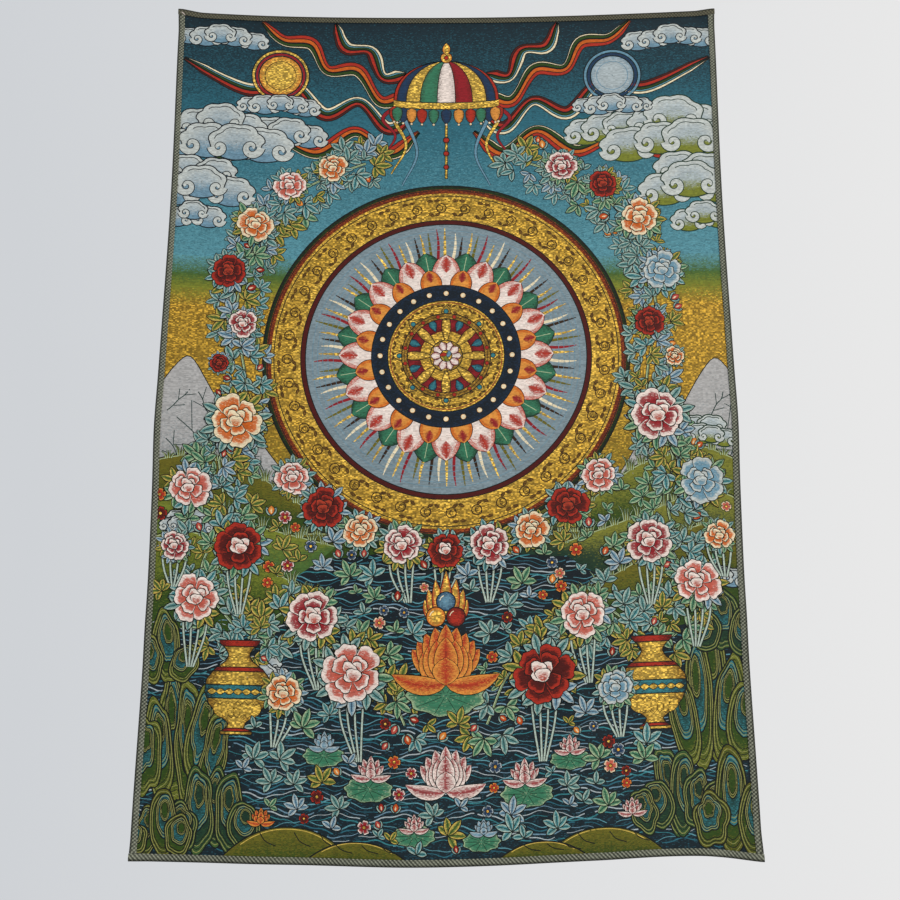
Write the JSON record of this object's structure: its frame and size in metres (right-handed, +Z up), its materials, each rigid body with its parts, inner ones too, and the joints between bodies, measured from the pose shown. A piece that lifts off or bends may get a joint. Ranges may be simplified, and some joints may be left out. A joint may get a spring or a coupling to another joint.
{
  "type": "hanging brocade thangka with bound edges",
  "caption": "Upright rectangular figured silk hanging with a narrow sewn edge binding, held at its top edge and hanging in shallow waves.",
  "frame": {"origin": "middle of the finished top edge, which sags 9 mm below its two held corners", "axes": "+Z up along the hanging cloth, +X to the right as seen from the front, and the face looks to -Y"},
  "size_m": [0.6, 0.0097, 0.9093],
  "materials": {
    "figured_silk": "dense figured weave in many colours with gilt thread, soft sheen",
    "edge_tape": "matt grey-green twill tape"
  },
  "bodies": {
    "root": {"picture_panel": "figured_silk", "binding_top": "edge_tape", "binding_bottom": "edge_tape", "binding_left": "edge_tape", "binding_right": "edge_tape"}
  },
  "joints": []
}
